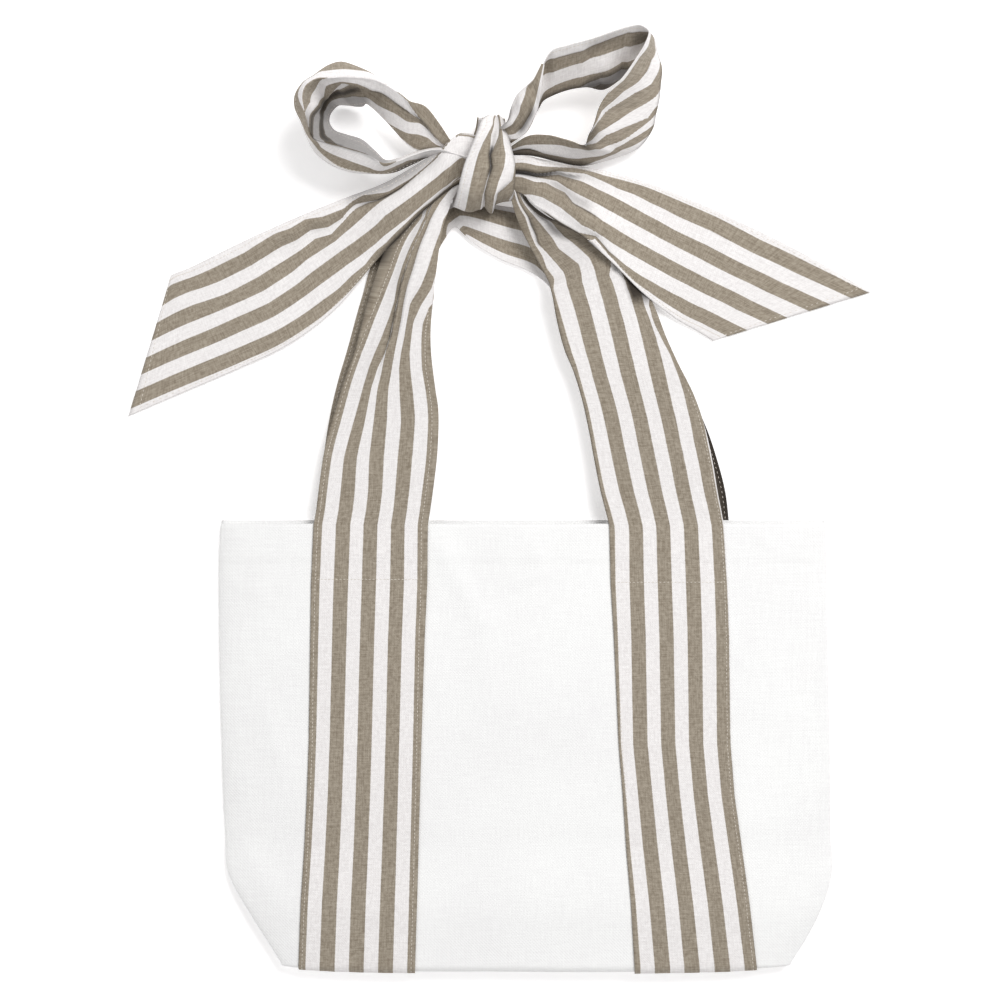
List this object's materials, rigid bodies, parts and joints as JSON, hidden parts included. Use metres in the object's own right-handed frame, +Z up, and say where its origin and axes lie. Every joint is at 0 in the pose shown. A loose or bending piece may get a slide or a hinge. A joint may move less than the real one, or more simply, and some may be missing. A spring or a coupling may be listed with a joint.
{
  "type": "shopping bag",
  "caption": "Flat canvas shopping bag with wide striped cloth handles, the front pair tied in a bow with two loops and two tails.",
  "frame": {"origin": "middle of the body's back, on the face that rests on the surface", "axes": "+Z up off the surface, through the front panel; +Y from the body towards the bow; +X to the right seen from above"},
  "size_m": [0.512, 0.6421, 0.0522],
  "materials": {
    "canvas": "matt white cotton canvas",
    "striped_cloth": "matt cotton cloth with 10 mm taupe and white stripes"
  },
  "bodies": {
    "root": {"body_front": "canvas", "body_back": "canvas", "tie_left": "striped_cloth", "tie_right": "striped_cloth", "back_handle": "striped_cloth"}
  },
  "joints": []
}
